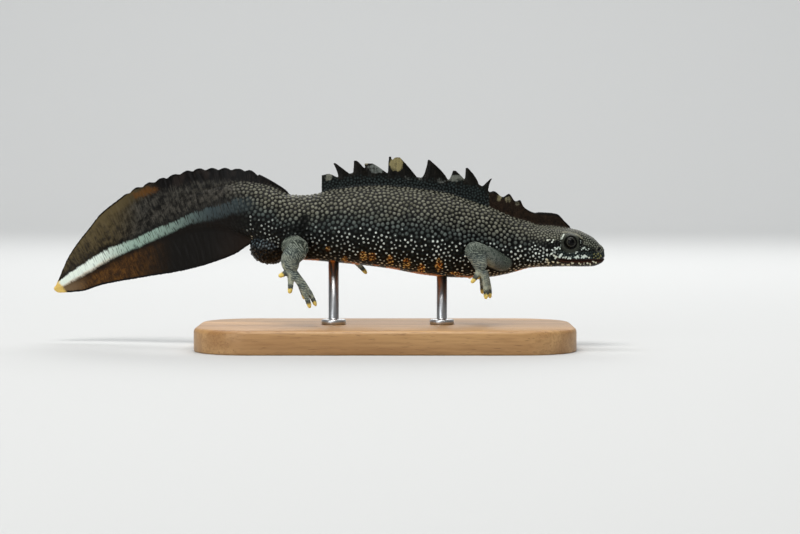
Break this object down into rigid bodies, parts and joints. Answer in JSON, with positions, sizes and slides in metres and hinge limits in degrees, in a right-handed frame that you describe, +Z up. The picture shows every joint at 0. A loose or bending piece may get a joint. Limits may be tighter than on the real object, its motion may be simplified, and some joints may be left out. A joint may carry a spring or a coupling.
{
  "type": "great crested newt model",
  "caption": "Life-size still model of a swimming adult male great crested newt in breeding dress, with jagged crest and deep finned tail, held on a plain display stand.",
  "frame": {"origin": "on the floor under the middle of the whole model's box, in the plane of the stand's underside", "axes": "+X towards the snout, +Y to the animal's left, +Z up"},
  "size_m": [0.119, 0.04, 0.0407],
  "materials": {
    "skin": "moist granular skin, slate black with white-tipped warts and an orange belly",
    "fin": "smooth moist skin fold, black-brown",
    "leg_skin": "finely wrinkled moist skin, slate grey with yellow-orange toe tips",
    "eye": "wet and glossy, black with a thin gold ring",
    "stand_wood": "satin oiled oak",
    "stand_steel": "fine brushed steel"
  },
  "bodies": {
    "root": {"head": "skin", "neck": "skin", "torso_front": "skin", "torso_middle": "skin", "torso_rear": "skin", "pelvis": "skin", "vent": "skin", "tail_base": "skin", "tail_middle": "skin", "tail_tip": "skin", "tail_fin_upper": "fin", "tail_fin_lower": "fin", "crest_neck": "fin", "crest_front": "fin", "crest_rear": "fin", "eye_right": "eye", "eye_left": "eye", "upper_arm_right": "leg_skin", "upper_arm_left": "leg_skin", "forearm_right": "leg_skin", "forearm_left": "leg_skin", "front_foot_right": "leg_skin", "front_foot_left": "leg_skin", "thigh_right": "leg_skin", "thigh_left": "leg_skin", "shank_right": "leg_skin", "shank_left": "leg_skin", "hind_foot_right": "leg_skin", "hind_foot_left": "leg_skin", "stand_base": "stand_wood", "stand_rod_front": "stand_steel", "stand_rod_rear": "stand_steel"}
  },
  "joints": []
}
